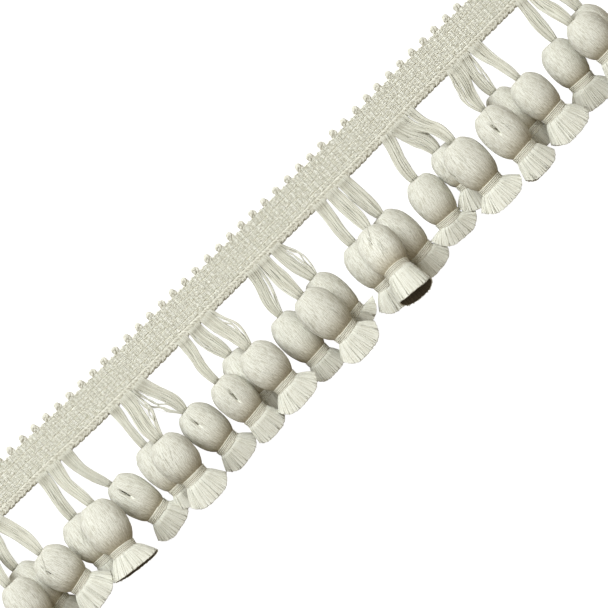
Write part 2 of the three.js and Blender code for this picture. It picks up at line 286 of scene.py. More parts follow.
warp_x = np.arange(weft_places[0], weft_places[-1] + 0.01, WEFT_PITCH / WARP_STEPS_A_WEFT)
warp_x = np.concatenate([[-HEADING_LENGTH / 2], warp_x, [HEADING_LENGTH / 2]])
warp_y = np.linspace(WARP_INSET - TAPE_HALF, TAPE_HALF - WARP_INSET, WARP_STRANDS)
for groove in WARP_GROOVES:
    away = warp_y - groove
    warp_y += GROOVE_SHIFT * np.sign(away) * np.exp(-np.abs(away) / GROOVE_REACH)
over_weft = np.pi * (warp_x - weft_places[0]) / WEFT_PITCH
rise = (1 - 2 * np.sin(over_weft) ** 4) * (1 + by_weft(RISE_STRAY))
warp_lines = np.zeros((WARP_STRANDS, len(warp_x), 3))
warp_lines[:, :, 0] = warp_x
by_rib = np.cos(over_weft)
warp_lines[:, :, 1] = warp_y[:, None] + WARP_ASIDE * by_rib + by_weft(ASIDE_STRAY) + lie(warp_x)
warp_lines[:, :, 2] = WEAVE_MIDDLE + WARP_HEIGHT + WARP_RISE * rise + RIB_RISE * by_rib
strand_wide = STRAND_WIDE + RISE_SWELL * rise + RIB_SWELL * by_rib
warp_yarn = yarn_material(
    "warp_yarn", WARP_PALE, WARP_DEEP, (WARP_STRANDS, wefts), roughness=0.7, sheen=0.1, blend=0.08
)
warp_part = threads(warp_lines, strand_wide, STRAND_HIGH, WARP_SIDES, strips(WARP_STRANDS))
heading_warps = make_piece("heading_warps", [warp_part], [warp_yarn], "woven_heading")


# Picots: at every second rib the weft, a two-ply cord, stands out past the upper edge as a small round
# loop. Between two loops it turns back close to the edge, as a low bump.
PICOT_PITCH = 2 * RIB_PITCH
PICOT_SHIFT = -1.8
PICOTS = int(HEADING_LENGTH / PICOT_PITCH)
PICOT_FOOT = 5.6
PICOT_HALF = 0.85
PICOT_TALL = 2.1
PICOT_PLY = 0.72
PICOT_PLY_OFFSET = 0.3
PICOT_STEPS = 26
PICOT_SIDES = 6
PICOT_TWIST = 2.0
PICOT_STRAY = 0.12
PICOT_END_SHARE = 0.6
LOOP_SIZES = (0.94, 1.05)
LOOP_LEAN = 0.12
LOOP_NARROWING = 0.22
LOOP_ROUNDING = 0.8
LOOP_WAVER = 0.06
EDGE_TURN_FOOT = 5.4
EDGE_TURN_HALF = 0.36
EDGE_TURN_TALL = 0.5
EDGE_TURN_PLY = 0.25
EDGE_TURN_OFFSET = 0.15
EDGE_TURN_STEPS = 12
PICOT_PALE = (0.80, 0.80, 0.73)
PICOT_DEEP = (0.62, 0.605, 0.515)


def plied(lines, offset, twist, start=0.0):
    """The two plies of cords along lines, twisted about each other through twist radians a millimetre."""
    side, top = thread_frames(lines)
    steps = np.linalg.norm(np.diff(lines, axis=1), axis=2)
    along = np.concatenate([np.zeros((len(lines), 1)), np.cumsum(steps, axis=1)], axis=1)
    turn = (along * twist + start)[..., None]
    out = offset * (np.cos(turn) * side + np.sin(turn) * top)
    return np.concatenate([lines + out, lines - out])


def edge_loops(places, foot, half, tall, steps):
    """Arches in the plane of the tape that leave its upper edge at foot, go over and come back."""
    count = len(places)
    angle = np.linspace(np.pi, 0, steps)
    size = chance.uniform(*LOOP_SIZES, (2, count, 1))
    lean = chance.normal(0, LOOP_LEAN, (count, 1)) * np.sin(angle)
    narrowed = 1 - LOOP_NARROWING + LOOP_NARROWING * np.sin(angle)
    lines = np.zeros((count, steps, 3))
    lines[:, :, 0] = places[:, None] + half * size[0] * np.cos(angle) * narrowed + lean
    lines[:, :, 1] = foot + tall * size[1] * np.sin(angle) ** LOOP_ROUNDING + lie(places)[:, None]
    lines[:, :, 2] = WEAVE_MIDDLE + LOOP_WAVER * wander(count, steps, 1)
    return lines


picot_places = (np.arange(PICOTS) - (PICOTS - 1) / 2) * PICOT_PITCH + PICOT_SHIFT
picot_places = picot_places + chance.normal(0, PICOT_STRAY, PICOTS)
picot_lines = edge_loops(picot_places, PICOT_FOOT, PICOT_HALF, PICOT_TALL, PICOT_STEPS)
picot_plies = plied(picot_lines, PICOT_PLY_OFFSET, PICOT_TWIST, chance.uniform(0, 6, (PICOTS, 1)))
picot_swell = np.sin(np.linspace(0, np.pi, PICOT_STEPS)) ** 0.5
picot_ply = PICOT_PLY * (PICOT_END_SHARE + (1 - PICOT_END_SHARE) * picot_swell)
turn_places = picot_places[:-1] + PICOT_PITCH / 2
turn_lines = edge_loops(turn_places, EDGE_TURN_FOOT, EDGE_TURN_HALF, EDGE_TURN_TALL, EDGE_TURN_STEPS)
turn_plies = plied(turn_lines, EDGE_TURN_OFFSET, PICOT_TWIST)
picot_cord = yarn_material(
    "picot_cord", PICOT_PALE, PICOT_DEEP, (4 * PICOTS, 9), roughness=0.68, sheen=0.15
)
picot_parts = [
    threads(picot_plies, picot_ply, picot_ply, PICOT_SIDES, strips(2 * PICOTS, high=0.7)),
    threads(turn_plies, EDGE_TURN_PLY, EDGE_TURN_PLY, PICOT_SIDES, strips(2 * PICOTS - 2, low=0.7)),
]
picot_loops = make_piece("picot_loops", picot_parts, [picot_cord], "woven_heading")


# Ground of the heading: the close cloth inside the weave, where weft and warps lie packed together.
# It is the flat woven tape itself, 332 by 11.7 mm, and carries the threads that show on its face.
GROUND_THICKNESS = 0.55
GROUND_EDGE = 0.25
GROUND_CELLS = (166, 6)
GROUND_PALE = (0.72, 0.705, 0.605)
GROUND_DEEP = (0.60, 0.58, 0.475)
bpy.ops.mesh.primitive_grid_add(x_subdivisions=GROUND_CELLS[0], y_subdivisions=GROUND_CELLS[1], size=1)
heading_cloth = bpy.context.object
heading_cloth.name = "heading_cloth"
bpy.ops.object.mode_set(mode="EDIT")
bpy.ops.mesh.select_all(action="SELECT")
bpy.ops.transform.resize(value=(HEADING_LENGTH * MM, 2 * TAPE_HALF * MM, 1))
bpy.ops.transform.translate(value=(0, 0, (WEAVE_MIDDLE + GROUND_THICKNESS / 2) * MM))
bpy.ops.object.mode_set(mode="OBJECT")
thickness = heading_cloth.modifiers.new("thickness", "SOLIDIFY")
thickness.thickness = GROUND_THICKNESS * MM
thickness.offset = -1
bpy.ops.object.modifier_apply(modifier="thickness")
edges = heading_cloth.modifiers.new("edges", "BEVEL")
edges.width = GROUND_EDGE * MM
edges.segments = 2
bpy.ops.object.modifier_apply(modifier="edges")
heading_cloth.data.uv_layers.active.name = THREAD_MAP
for vertex in heading_cloth.data.vertices:
    vertex.co.y += lie(vertex.co.x / MM) * MM
heading_cloth.data.materials.append(
    yarn_material("ground_weave", GROUND_PALE, GROUND_DEEP, (214, 23), roughness=0.85, sheen=0.05)
)
settle(heading_cloth, "woven_heading", "heading_tape")


# Footing braid: two cords on a flat strip along the heading's lower edge. The first is a two-ply cord
# that shows as a row of small beads, and over the second a pair of yarns is whipped, whose slanting
# turns scallop the edge.
CORD_STEP = 0.3
CORD_WAVER = 0.08
CORD_SWINGS = 37
CORD_SIDES = 6
BEAD_SIDES = 7
STRIP = {"middle": -7.2, "height": 1.05, "half": 1.75, "thick": 0.5}
BEAD_CORD = {"middle": -6.72, "height": 0.9, "ply": 0.45, "offset": 0.44, "pitch": 3.2}
EDGE_CORD = {"middle": -8.35, "height": 0.84, "core": 0.6, "yarn": 0.54, "offset": 0.45, "pitch": 3.1}
EDGE_YARN_APART = 1.0
EDGE_YARN_HIGH = 0.38
EDGE_UNEVEN = 0.5
EDGE_SWINGS = 29
CORD_PALE = (0.75, 0.745, 0.665)
CORD_DEEP = (0.50, 0.485, 0.40)
cord_steps = int(HEADING_LENGTH / CORD_STEP)


def cord_line(cord):
    line = np.zeros((1, cord_steps, 3))
    line[:, :, 0] = np.linspace(-HEADING_LENGTH / 2, HEADING_LENGTH / 2, cord_steps)
    line[:, :, 1] = cord["middle"] + CORD_WAVER * wander(1, cord_steps, CORD_SWINGS) + lie(line[:, :, 0])
    line[:, :, 2] = cord["height"]
    return line


bead_plies = plied(cord_line(BEAD_CORD), BEAD_CORD["offset"], 2 * np.pi / BEAD_CORD["pitch"])
edge_line = cord_line(EDGE_CORD)
edge_turns = -2 * np.pi / EDGE_CORD["pitch"]
uneven = EDGE_UNEVEN * wander(1, cord_steps, EDGE_SWINGS)
edge_yarns = np.concatenate(
    [
        plied(edge_line, EDGE_CORD["offset"], edge_turns, uneven)[:1],
        plied(edge_line, EDGE_CORD["offset"], edge_turns, uneven + edge_turns * EDGE_YARN_APART)[:1],
    ]
)
cord_yarn = yarn_material(
    "braid_cord", CORD_PALE, CORD_DEEP, (26, 300), roughness=0.7, sheen=0.1, blend=0.05
)
cord_parts = [
    threads(cord_line(STRIP), STRIP["half"], STRIP["thick"], CORD_SIDES, strips(1, right=0.1)),
    threads(bead_plies, BEAD_CORD["ply"], BEAD_CORD["ply"], BEAD_SIDES, strips(2, left=0.1, right=0.45)),
    threads(edge_line, EDGE_CORD["core"], EDGE_YARN_HIGH, CORD_SIDES, strips(1, left=0.45, right=0.6)),
    threads(edge_yarns, EDGE_CORD["yarn"], EDGE_YARN_HIGH, CORD_SIDES, strips(2, left=0.6)),
]
make_piece("footing_cords", cord_parts, [cord_yarn], "floss", "footing_braid")


# Skeins: loose flat bundles of fine floss that hang from the braid in threes, one for each tassel. They
# come out over the braid's edge, spread as they hang, and are gathered where they are knotted to the
# tassel.
BRAID_LOWER_EDGE = -9.0
PIECE_GAP = 0.3
BULB_WIDTH = 16
BULB_LENGTH = 17.9
BULB_MIDDLE = 9
BULB_BALLS = ((1.5, 5.3), (4.8, 7.4), (9.8, 8.0), (14.6, 7.3), (17.6, 6.1))
BULB_SIDES = 12
NECK_HALF = 4.9
SKIRT_ROOT_BALL = (0, 23.5, 5.6)
SKIRT_BALLS_ALONG = 27
SKIRT_BALL_SHARE = 0.24
DEPTH_SHARE = 0.88
SKIRT_DEPTH_SHARE = 0.62
SKIRT_DROOP = 0.65
SURFACE_PRESS = 0.35
STACK_GAP = 0.5
TASSEL_COLUMNS = "name under root tie drop bow shift lean pitch width bulb fan length".split()
TASSEL_ROWS = (
    ("1a", 0, -152.7, -153.7, 19.1, -0.5, 0.9, -3, -3, 15.5, 17.8, 16.8, 30.2),
    ("1b", 1, -146.9, -149, 16.4, 0.1, -0.3, 6.4, -2.5, 15.6, 20, 12, 29.1),
    ("1c", 0, -142.3, -137, 19.1, 2.7, -0.7, 11.7, -3, 16.1, 17.5, 19.2, 30.1),
    ("2a", 1, -117.7, -119.7, 18, -0.6, -1.1, -2.2, -2.5, 15.8, 18, 12.5, 28.1),
    ("2b", 0, -111.5, -110, 19.3, -2.5, -0.8, -7.2, 6, 17.3, 19.6, 20.8, 30.2),
    ("2c", 1, -105.1, -100.9, 19.1, -1, 1.4, 12, -2.5, 14.8, 19.4, 12.4, 31.1),
    ("3a", 1, -79.9, -81.2, 17.8, -0.3, -0.7, 0.2, -2.5, 15.2, 19, 9.5, 28.8),
    ("3b", 0, -73.5, -74.9, 20.1, -0.3, -0.1, 0, -2, 16.3, 18, 18.9, 30.9),
    ("3c", 1, -66.9, -61.2, 19.4, 2, 0, 8.9, -2.5, 15.7, 18.9, 18, 30.2),
    ("4a", 0, -42.8, -44, 20.1, -0.5, 0, 5, -3, 15.1, 17.7, 13.2, 29.5),
    ("4b", 1, -36.2, -34.1, 16, -0.5, 0.7, -2.3, -2.5, 15.4, 18.6, 12, 27.6),
    ("4c", 0, -30, -26.6, 19.3, 0.8, -0.6, 4.2, -2, 16.2, 17.8, 18.4, 29.6),
    ("5a", 1, -5.3, -9.5, 19, -0.5, -1.3, 1.7, -2.5, 15.2, 19.6, 13.5, 30.3),
    ("5b", 0, 0.4, 1.1, 19.4, 0.1, 0.3, 6.6, -2, 16.3, 20.2, 19.8, 33),
    ("5c", 1, 7.1, 9.6, 17.8, -0.3, -1, 5.1, -2.5, 14.6, 19.1, 12, 27.6),
    ("6a", 1, 31.2, 29.3, 19, -0.7, -0.7, -0.8, -2.5, 15.4, 18.1, 12.5, 30.6),
    ("6b", 0, 37.5, 37.1, 19.3, -0.1, -1, -5.8, 18, 15.6, 18.4, 15.3, 32.5),
    ("6c", 1, 43.8, 44.4, 18.9, 0.5, -0.7, 5.2, -2.5, 15.4, 19.9, 13, 30.6),
    ("7a", 1, 67.8, 63.3, 18.5, -1.4, 0.3, -4.8, -2.5, 15.2, 18.4, 15, 28.8),
    ("7b", 1, 72.3, 76.7, 16.4, 0.7, 1.5, -1.5, -2.5, 14.6, 15.4, 9.5, 27.5),
    ("7c", 0, 78.9, 82.8, 18.5, 0.7, -1.2, 0.7, -2, 16.1, 19.9, 20.5, 31.2),
    ("8a", 0, 104.3, 99.3, 18.4, 0, -1.2, 3.2, 2, 16.1, 20.5, 15.9, 33),
    ("8b", 1, 110, 108, 16.1, -1.4, -0.3, 1, -2.5, 14.8, 19.1, 12, 28.5),
    ("8c", 0, 115.9, 117.4, 19, 0.3, -0.6, 3.8, -2, 14.9, 17.3, 19.6, 30.6),
    ("9a", 1, 140.5, 138.5, 18, -0.6, -2.4, -3.9, -2.5, 14.9, 17.7, 16, 29.9),
    ("9b", 0, 145.7, 145.9, 17.9, -0.6, 1.8, 2.3, -3, 15.5, 16.8, 16.8, 30.2),
    ("9c", 1, 151.7, 153.7, 16.2, 0.5, -1.5, 1, -2.5, 15.4, 18.3, 12, 28.4),
)
SKEIN_STRANDS = 30
SKEIN_STRAND = (0.33, 0.13)
SKEIN_HAIRS = 8
SKEIN_HAIR = (0.08, 0.08)
SKEIN_STEPS = 15
SKEIN_SIDES = 5
HAIR_SIDES = 3
SKEIN_PULL = 0.4
SKEIN_ROOT_INSIDE = 1.2
SKEIN_ROOT_HEIGHT = 0.8
SKEIN_TIE_INSIDE = 0.6
SKEIN_HALF = 0.46
SKEIN_STRAY = 0.015
SKEIN_WAVER = 0.045
SKEIN_SWINGS = 0.9
SKEIN_ROUNDING = 3.6
INSIDE_LAYER = 0.1
OUTSIDE_LAYER = 0.7
LAYER_STEP = 0.12
HAIR_LAYERS = (0.7, 1.3)
LOOSE_FROM = 0.32
LOOSE_OVER = 0.12
EDGE_CREST = -8.1
EDGE_REACH = 1.3
EDGE_CLIMB = 1.05
SKEIN_DEPTHS = (0.6, 0.9, 1.2)
SKEIN_WIDTHS = {
    "1a": (5.2, 4.8, 3.0),
    "1b": (5.0, 4.6, 3.2),
    "1c": (6.0, 5.6, 2.6),
    "2a": (5.2, 4.9, 3.9),
    "2b": (6.0, 4.6, 2.9),
    "2c": (5.7, 4.0, 2.0),
    "3a": (4.5, 3.1, 3.0),
    "3b": (6.2, 6.6, 4.2),
    "3c": (6.5, 5.5, 2.0),
    "4a": (5.0, 4.1, 2.4),
    "4b": (5.7, 5.6, 3.2),
    "4c": (6.0, 5.6, 2.8),
    "5a": (5.2, 4.6, 2.2),
    "5b": (5.7, 6.0, 3.2),
    "5c": (5.0, 5.4, 3.4),
    "6a": (5.5, 4.8, 3.6),
    "6b": (5.5, 5.7, 2.6),
    "6c": (5.5, 6.1, 2.8),
    "7a": (5.5, 4.9, 3.3),
    "7b": (6.0, 6.8, 3.8),
    "7c": (8.0, 5.2, 2.8),
    "8a": (6.0, 5.0, 1.9),
    "8b": (5.2, 4.3, 3.0),
    "8c": (6.0, 3.9, 2.2),
    "9a": (4.2, 4.9, 2.3),
    "9b": (4.7, 5.0, 3.0),
    "9c": (5.0, 4.8, 3.2),
}
LOOSE_STRANDS = {
    "3b": 2.2,
    "3c": -3.2,
    "4b": -0.8,
    "4c": 1.6,
    "5a": 1.3,
    "5c": 2.4,
    "8a": -2.0,
    "8b": 1.4,
}
SKEIN_PALE = (0.68, 0.68, 0.605)
SKEIN_DEEP = (0.48, 0.465, 0.385)


def turned(tassel, points):
    """Points of a tassel's own frame, with its axis along -Y, turned to the way that it lies."""
    lean, pitch = np.radians(tassel["lean"]), np.radians(tassel["pitch"])
    x, y, z = np.moveaxis(np.asarray(points, float), -1, 0)
    y, z = y * np.cos(pitch) + z * np.sin(pitch), z * np.cos(pitch) - y * np.sin(pitch)
    return np.stack([x * np.cos(lean) - y * np.sin(lean), x * np.sin(lean) + y * np.cos(lean), z], -1)


def balls_of(tassel):
    """Balls that fill a tassel, as rows of x, y, rise over the bulb's middle, and half size."""
    side_ball = SKIRT_BALL_SHARE * tassel["fan"]
    side = tassel["fan"] / 2 - side_ball
    lengthening = (tassel["bulb"] - PIECE_GAP) / BULB_LENGTH
    widening = tassel["width"] / BULB_WIDTH
    balls = [(0, along * lengthening, half * widening) for along, half in BULB_BALLS]
    balls = [ball for ball in balls if ball[2] > NECK_HALF]
    balls += [SKIRT_ROOT_BALL]
    balls += [(across, SKIRT_BALLS_ALONG, side_ball) for across in (-side, 0, side)]
    across, along, half = np.array(balls).T
    flat = turned(tassel, np.stack([across, -along, 0 * along], -1))
    rise = (along - BULB_MIDDLE) * np.sin(np.radians(tassel["pitch"]))
    x = tassel["tie"] + tassel["shift"] + flat[:, 0]
    return np.stack([x, flat[:, 1] - tassel["drop"], rise, half], -1)


def resting_height(tassel):
    return tassel["width"] / 2 * DEPTH_SHARE * math.cos(math.pi / BULB_SIDES) - SURFACE_PRESS


def laying_height(tassel, laid):
    """The height of a bulb's middle when the tassel lies on the surface or on those laid before it."""
    height = resting_height(tassel)
    upper = balls_of(tassel)[:, None]
    for other in laid:
        lower = balls_of(other)[None]
        reach = upper[..., 3] + lower[..., 3] + STACK_GAP
        apart = np.hypot(upper[..., 0] - lower[..., 0], upper[..., 1] - lower[..., 1])
        clear = DEPTH_SHARE * np.sqrt(np.maximum(reach**2 - apart**2, 0))
        needed = other["height"] + lower[..., 2] + clear - upper[..., 2]
        height = max(height, np.where(apart < reach, needed, 0).max())
    return height


tassels = [dict(zip(TASSEL_COLUMNS, row)) for row in TASSEL_ROWS]
laid_tassels = []
for tassel in sorted(tassels, key=lambda one: -one["under"]):
    tassel["height"] = laying_height(tassel, laid_tassels)
    laid_tassels.append(tassel)
for tassel in tassels:
    climb = math.sin(math.radians(tassel["pitch"]))
    tie_height = tassel["height"] - BULB_MIDDLE * climb
    end_height = tassel["height"] + (tassel["length"] - BULB_MIDDLE) * climb
    on_surface = tassel["height"] == resting_height(tassel)
    tassel["fan_depth"] = end_height if on_surface else tassel["fan"] / 2 * SKIRT_DEPTH_SHARE
    tassel["fan_rise"] = tassel["fan_depth"] * (SKIRT_DROOP if on_surface else 1)
    tassel["place"] = np.array(
        [tassel["tie"] + tassel["shift"], BRAID_LOWER_EDGE - tassel["drop"], tie_height]
    )


def skein_line(tassel, share):
    """Points of a skein's middle line at shares of its length, from the braid to the tassel's tie."""
    root_y = BRAID_LOWER_EDGE + SKEIN_ROOT_INSIDE + lie(tassel["root"])
    root = np.array([tassel["root"], root_y, SKEIN_ROOT_HEIGHT])
    tie = tassel["place"] + turned(tassel, (-tassel["shift"], -SKEIN_TIE_INSIDE, 0))
    pull = SKEIN_PULL * np.linalg.norm(tie - root)
    leaving = root + (tassel["bow"], -pull, 0)
    arriving = tie + turned(tassel, (tassel["bow"], pull, 0))
    t = share[:, None]
    return (
        (1 - t) ** 3 * root + 3 * (1 - t) ** 2 * t * leaving + 3 * (1 - t) * t**2 * arriving + t**3 * tie
    )


def swelling(sizes, share):
    """The size of a skein at shares of its length, from those at its root, its middle and its tie."""
    root, middle, tie = sizes
    opening = np.clip(2 * share, 0, 1)
    closing = np.clip(2 * share - 1, 0, 1)
    return root + (middle - root) * opening**2 * (3 - 2 * opening) + (tie - middle) * closing**3


def skein_threads(tassel, layers, sizes, sides, cells):
    """Strands of a skein side by side, each in its own layer, drawn together at both ends."""
    count = len(layers)
    share = np.linspace(0, 1, SKEIN_STEPS)
    line = skein_line(tassel, share)
    side, top = thread_frames(line)
    across = np.linspace(-SKEIN_HALF, SKEIN_HALF, count)[:, None]
    across = across + chance.normal(0, SKEIN_STRAY, (count, 1))
    height = (layers[:, None] - 0.5) * np.sqrt(1 - SKEIN_ROUNDING * np.clip(across, -0.5, 0.5) ** 2)
    across = across + SKEIN_WAVER * wander(count, SKEIN_STEPS, SKEIN_SWINGS) * np.sin(np.pi * share)
    loose = LOOSE_STRANDS.get(tassel["name"], 0)
    outermost = np.clip(np.sign(loose) * across - LOOSE_FROM, 0, LOOSE_OVER) / LOOSE_OVER
    aside = across * swelling(SKEIN_WIDTHS[tassel["name"]], share)
    aside = aside + loose * outermost * np.sin(np.pi * share)
    over = height * swelling(SKEIN_DEPTHS, share)
    lines = line + aside[..., None] * side + over[..., None] * top
    from_edge = lines[..., 1] - lie(tassel["root"]) - EDGE_CREST
    over_edge = np.exp(-((from_edge / EDGE_REACH) ** 2))
    lines[..., 2] = np.maximum(lines[..., 2] + EDGE_CLIMB * over_edge, sizes[1])
    return threads(lines, sizes[0], sizes[1], sides, cells)


skein_floss = yarn_material(
    "skein_floss", SKEIN_PALE, SKEIN_DEEP, (60, 2 * len(tassels)), roughness=0.55, sheen=0.1, blend=0.12
)
strand_numbers = np.arange(SKEIN_STRANDS)
outside_layers = OUTSIDE_LAYER + LAYER_STEP * (strand_numbers % 3)
strand_layers = np.where(strand_numbers % 4 == 3, INSIDE_LAYER, outside_layers)
skein_parts = []
for number, tassel in enumerate(tassels):
    low, high = number / len(tassels), (number + 1) / len(tassels)
    strand_cells = strips(SKEIN_STRANDS, low=low, right=0.7, high=high)
    skein_parts.append(skein_threads(tassel, strand_layers, SKEIN_STRAND, SKEIN_SIDES, strand_cells))
    hair_layers = chance.uniform(*HAIR_LAYERS, SKEIN_HAIRS)
    hair_cells = strips(SKEIN_HAIRS, left=0.7, low=low, high=high)
    skein_parts.append(skein_threads(tassel, hair_layers, SKEIN_HAIR, HAIR_SIDES, hair_cells))
make_piece("skeins", skein_parts, [skein_floss], "floss", "footing_braid")


# Tassels: a hank of fine floss tied at its middle, doubled over into an onion-shaped bulb, bound below
# it and cut off as a short hollow skirt. On some the floss parts over the bulb and shows the thread
# that ties it.
OUTLINE_LENGTH = 18.4
BULB_OUTLINE = (
    (2.6, 0.5),
    (1.0, 1.3),
    (0.1, 2.6),
    (0.3, 4.0),
    (1.5, 5.5),
    (4.2, 7.25),
    (7.2, 7.9),
    (10.2, 7.98),
    (13.0, 7.7),
    (15.4, 7.1),
    (17.2, 6.25),
    (18.3, 5.45),
    (19.2, 5.1),
    (21.6, 5.0),
)
BULB_STATIONS = 20
PARTED_STATIONS = 34
BULB_RIDGES = 100
RIDGE_HEIGHT = 0.065
RIDGE_CHANCES = (0.2, 1.4)
BULB_SWIRL = 0.3
BULB_DRIFT = 0.05
BULB_LUMPS = (0.012, 0.01)
FULL_HALF = 8
BULB_HAIRS = 36
BULB_HAIR = 0.06
BULB_HAIR_STEPS = 6
BULB_HAIR_STARTS = (2, 11)
BULB_HAIR_LENGTHS = (4, 7.5)
BULB_HAIR_SLANT = 0.2
BULB_HAIR_OUT = 1.01
OUTLINE_STEPS = 60
NECK_ALONG = 19
NECK_FADE = 4
SWIRL_LENGTH = 18
SKIRT_START = 2.5
SKIRT_ROOT_HALF = 5.25
SKIRT_RIDGES = 105
SKIRT_RIDGE_HEIGHT = 0.05
SKIRT_SQUARING = 0.6
SKIRT_LOCKS = 23
SKIRT_LOCK_HEIGHT = 0.025
SKIRT_LOCK_DRAW = 0.6
SKIRT_CRESTS = (0.3, 1.3)
SKIRT_PARTED = 0.12
SKIRT_PARTED_DEPTH = 1.6
SKIRT_FLARE = 0.8
SKIRT_STATIONS = (0, 0.25, 0.5, 0.75, 0.97, 1, 0.985, 0.6, 0.3, 0)
SKIRT_OUTER = 6
SKIRT_WALL = 0.45
SKIRT_HAIRS = 44
SKIRT_HAIR = 0.1
SKIRT_HAIR_STEPS = 5
SKIRT_HAIR_SLANT = 0.04
SKIRT_HAIR_LENGTHS = (0.93, 1.025)
SKIRT_HAIR_OUT = 0.1
SKIRT_RAGGED = 0.45
SKIRT_SPREADS = {
    "1b": 14,
    "2a": 14,
    "2c": 18.7,
    "3a": 15,
    "4a": 14.4,
    "4b": 14,
    "4c": 20.9,
    "5a": 15.5,
    "5c": 20.5,
    "6a": 20,
    "6c": 16.8,
    "7a": 21.5,
    "7b": 21,
    "8b": 14,
    "9a": 19,
}
CUT_BOW = 0.22
CUT_BOWS = {
    "2b": 0.05,
    "4a": 0.15,
    "5b": 0.27,
    "5c": 0.28,
    "6b": 0.1,
    "7a": 0.32,
    "7b": 0.26,
    "9a": 0.26,
}
CUT_SLANT = -0.3
CUT_SLANTS = {"6b": 0.5, "2b": 0.05, "8a": 0.0, "8c": -0.1, "3b": -0.1}
FLOSS_PALE = (0.87, 0.875, 0.81)
FLOSS_DEEP = (0.58, 0.565, 0.475)
SKIRT_PALE = (0.82, 0.825, 0.755)
SKIRT_DEEP = (0.63, 0.62, 0.53)
# Painted shade: the skirts' hollows and the floors of the partings are coloured near black, where the cream
# floss lies in shade.
SHADE_PAINT_PALE = (0.20, 0.175, 0.135)
SHADE_PAINT_DEEP = (0.09, 0.078, 0.058)
PARTINGS = {
    "1c": (-3.3, -3.3, 4.0, 9.0, 2.2),
    "2c": (-0.9, -0.5, 4.4, 9.4, 3.2),
    "3c": (-0.8, -0.6, 3.4, 8.2, 2.4),
    "4a": (0.6, -0.1, 5.4, 10.6, 2.6),
    "6b": (-1.1, -2.4, 4.6, 9.3, 1.2),
    "8a": (-1.5, -1.8, 6.4, 10.6, 3.2),
}
PARTING_HALF = 0.38
PARTING_REACH = 0.55
PARTING_SHADED = 0.3
LIP_HEIGHT = 0.12
LIP_AWAY = 0.9
LIP_HALF = 0.6
TIE_THREAD = 0.2
TIE_STEPS = 9
TIE_SIDES = 5
TIE_START = 0.4
TIE_INTO_PARTING = 0.4
TIE_OUT = 0.12
TIE_SINK = 0.25
# Painted shade on the bulbs: the floss is dimmed a little towards the tie and darkened towards the binding.
NECK_PAINTED_SHADE = (0.66, 0.60, 0.50)
TIE_PAINTED_SHADE = (0.87, 0.87, 0.865)
TIE_SHADE_END = 0.3
UNSHADED_MIDDLE = 0.52
NECK_SHADE_START = 0.87


def smooth_line(points, count):
    """A smooth line through points, sampled evenly."""
    points = np.asarray(points, float)
    padded = np.concatenate([[2 * points[0] - points[1]], points, [2 * points[-1] - points[-2]]])
    at = np.linspace(0, len(points) - 1, count)
    number = np.minimum(at.astype(int), len(points) - 2)
    t = (at - number)[:, None]
    a, b, c, d = (padded[number + step] for step in range(4))
    return 0.5 * (2 * b + (c - a) * t + (2 * a - 5 * b + 4 * c - d) * t**2 + (3 * b - a - 3 * c + d) * t**3)


def bulb_outline(tassel, points, count):
    """Places along a bulb's axis and the half widths there, for its own width and length."""
    along, half = smooth_line(points, count).T
    above_neck = np.clip((NECK_ALONG - along) / NECK_FADE, 0, 1)
    half = half * (1 + (tassel["width"] / BULB_WIDTH - 1) * above_neck)
    return along * tassel["bulb"] / OUTLINE_LENGTH, half


def ups_and_downs(sizes):
    """A crest and a furrow of each size, one after the other."""
    return np.tile((1, -1), len(sizes)) * np.repeat(sizes, 2)


def bulb(tassel):
    """The bulb's skin of floss, a fine ridge for each thread, with the parting where it has one."""
    sides = 2 * BULB_RIDGES
    stations = PARTED_STATIONS if tassel["name"] in PARTINGS else BULB_STATIONS
    along, half = (column[:, None] for column in bulb_outline(tassel, BULB_OUTLINE, stations))
    around = np.linspace(0, 2 * np.pi, sides, endpoint=False)
    swirl = chance.uniform(-BULB_SWIRL, BULB_SWIRL) * (along / SWIRL_LENGTH - 0.5)
    drift = BULB_DRIFT * np.sin(2 * around + along / 5 + chance.uniform(0, 6))
    angle = around + swirl + drift
    ridge = ups_and_downs(chance.uniform(*RIDGE_CHANCES, BULB_RIDGES))
    wide_lump, narrow_lump = BULB_LUMPS
    lumps = 1 + wide_lump * np.sin(3 * around + chance.uniform(0, 6))
    lumps = lumps + narrow_lump * np.sin(5 * around + along / 3)
    fullness = np.clip(half / FULL_HALF, 0, 1)
    half = half * lumps + RIDGE_HEIGHT * ridge * fullness
    sunk = np.zeros(half.shape)
    if tassel["name"] in PARTINGS:
        near, far, start, end, depth = PARTINGS[tassel["name"]]
        across = np.interp(along, (start, end), (near, far))
        away = (angle - np.arccos(np.clip(across / half, -0.95, 0.95))) * half
        window = np.exp(-(((along - (start + end) / 2) / (PARTING_REACH * (end - start))) ** 4))
        lips = LIP_HEIGHT * depth * np.exp(-(((np.abs(away) - LIP_AWAY) / LIP_HALF) ** 2))
        sunk = window * np.exp(-((away / PARTING_HALF) ** 2))
        half = half + window * lips - depth * sunk
    points = np.stack([half * np.cos(angle), 0 * half - along, DEPTH_SHARE * half * np.sin(angle)], -1)
    skin = ring_faces(1, stations, sides)
    # Faces deep in the parting take the painted shade of the skirts' hollows.
    inside = sunk.ravel()[skin].min(axis=1) > PARTING_SHADED
    faces = [skin[~inside], skin[inside], end_faces(1, stations, sides)]
    places = wrapped_places(faces, half.shape, 0.0, 0.0, 1.0)
    return points.reshape(-1, 3), faces, places, [0, 2, 0]


def wrapped_places(faces, shape, left, low, high):
    """Places in the thread map for faces of a sleeve of rings, over half of the map's width."""
    stations, sides = shape
    u = np.broadcast_to(left + 0.5 * np.arange(sides) / sides, shape)
    v = np.broadcast_to(np.linspace(low, high, stations)[:, None], shape)
    places = [np.stack([u, v], -1).reshape(-1, 2)[f] for f in faces]
    for some in places:
        seam = np.ptp(some[..., 0], axis=1) > 0.25
        seam &= some.shape[1] == 4
        some[seam, :, 0] += np.where(some[seam, :, 0] < left + 0.25, 0.5, 0)
    return places


